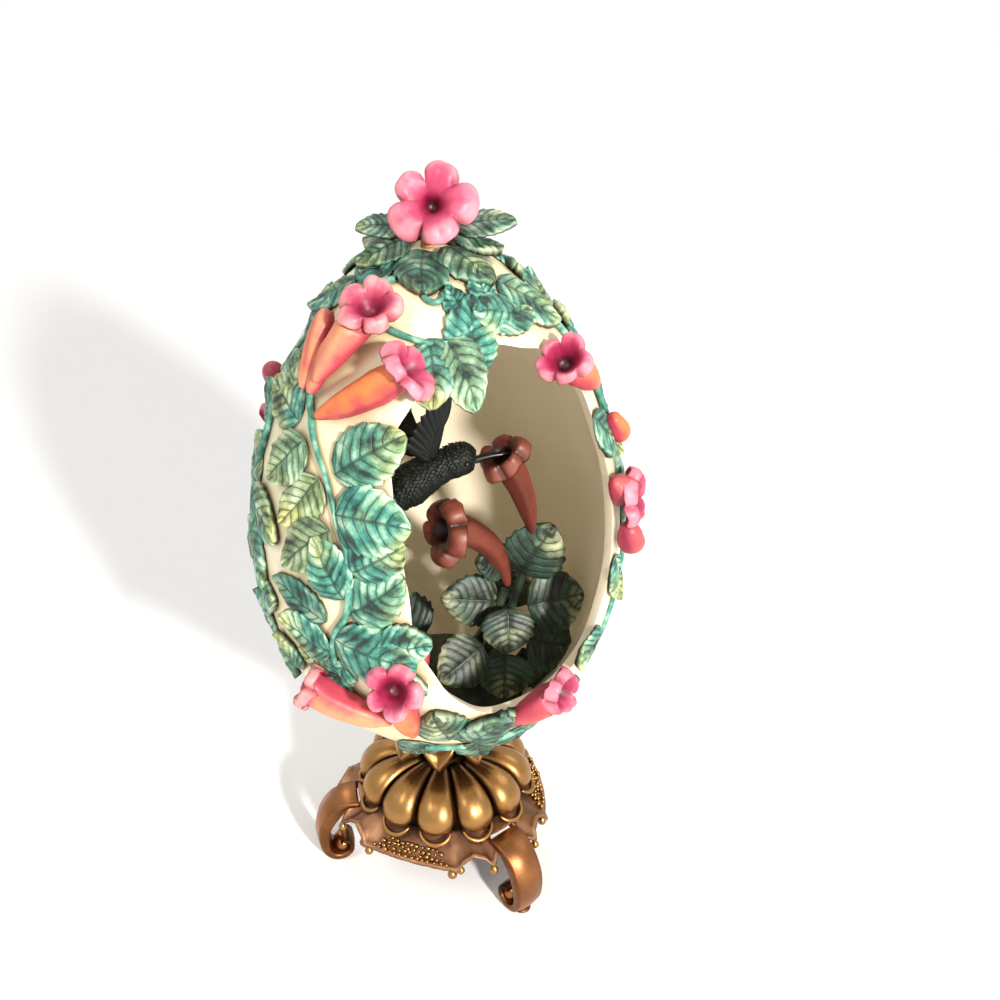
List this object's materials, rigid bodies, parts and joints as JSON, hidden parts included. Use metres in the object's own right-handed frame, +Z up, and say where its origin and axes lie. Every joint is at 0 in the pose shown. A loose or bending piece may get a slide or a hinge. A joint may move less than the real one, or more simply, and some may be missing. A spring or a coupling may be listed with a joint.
{
  "type": "decorative egg on stand",
  "caption": "Hollow upright egg with an oval front window, clad in vines and trumpet flowers, with a bird and garden inside, on a lobed tripod stand.",
  "frame": {"origin": "middle of the footprint on the table, under the egg's axis", "axes": "+Z up along the egg's axis, -Y towards the window, +X to the window's right as seen from the front"},
  "size_m": [0.0694, 0.0729, 0.1384],
  "materials": {
    "gilt_metal": "cast metal with an antique gilt finish, bright on the high places and dark in the grooves",
    "steel": "plain plated steel",
    "shell": "satin cream",
    "leaf_paint": "cast resin, hand painted teal and yellow green",
    "dark_leaf_paint": "cast resin, hand painted dark green",
    "coral_paint": "cast resin, hand painted coral and orange",
    "pink_paint": "cast resin, hand painted pink with a deep pink throat",
    "rust_paint": "cast resin, hand painted rust red",
    "bird_paint": "cast resin, hand painted green black with a soft gloss"
  },
  "bodies": {
    "root": {"stand_skirt": "gilt_metal", "skirt_drops": "gilt_metal", "grain_bands": "gilt_metal", "foot_front": "gilt_metal", "foot_right": "gilt_metal", "foot_left": "gilt_metal", "stand_bell": "gilt_metal", "bell_lobes": "gilt_metal", "lobe_cups": "gilt_metal", "crown_petals": "gilt_metal", "egg_seat": "gilt_metal", "tie_stud": "steel", "tie_nut": "steel", "tie_washer": "steel", "base_plug": "shell", "egg_shell": "shell", "vine_left": "leaf_paint", "vine_far_left": "leaf_paint", "vine_shoulder": "leaf_paint", "vine_right": "leaf_paint", "vine_base": "dark_leaf_paint", "vine_back_right": "leaf_paint", "vine_back": "leaf_paint", "vine_back_left": "leaf_paint", "vine_top": "leaf_paint", "flower_upper_left": "coral_paint", "flower_side_left": "coral_paint", "flower_upper_right": "pink_paint", "flower_mid_right": "pink_paint", "flower_low_right": "pink_paint", "flower_low_left": "pink_paint", "flower_base_left": "coral_paint", "flower_back_high": "coral_paint", "flower_back_left": "pink_paint", "flower_back_right": "pink_paint", "flower_back_low": "coral_paint", "shell_buds": "coral_paint", "finial_flower": "pink_paint", "finial_stems": "coral_paint", "finial_leaves": "dark_leaf_paint", "finial_tendril": "leaf_paint", "garden_mound": "dark_leaf_paint", "garden_stems": "dark_leaf_paint", "garden_leaves": "dark_leaf_paint", "inner_flower_high": "rust_paint", "inner_flower_mid": "rust_paint", "inner_flower_low": "rust_paint", "inner_bud": "coral_paint", "bird_body": "bird_paint", "bird_wings": "bird_paint", "bird_tail": "bird_paint", "bird_beak": "bird_paint", "bird_eyes": "bird_paint"}
  },
  "joints": []
}
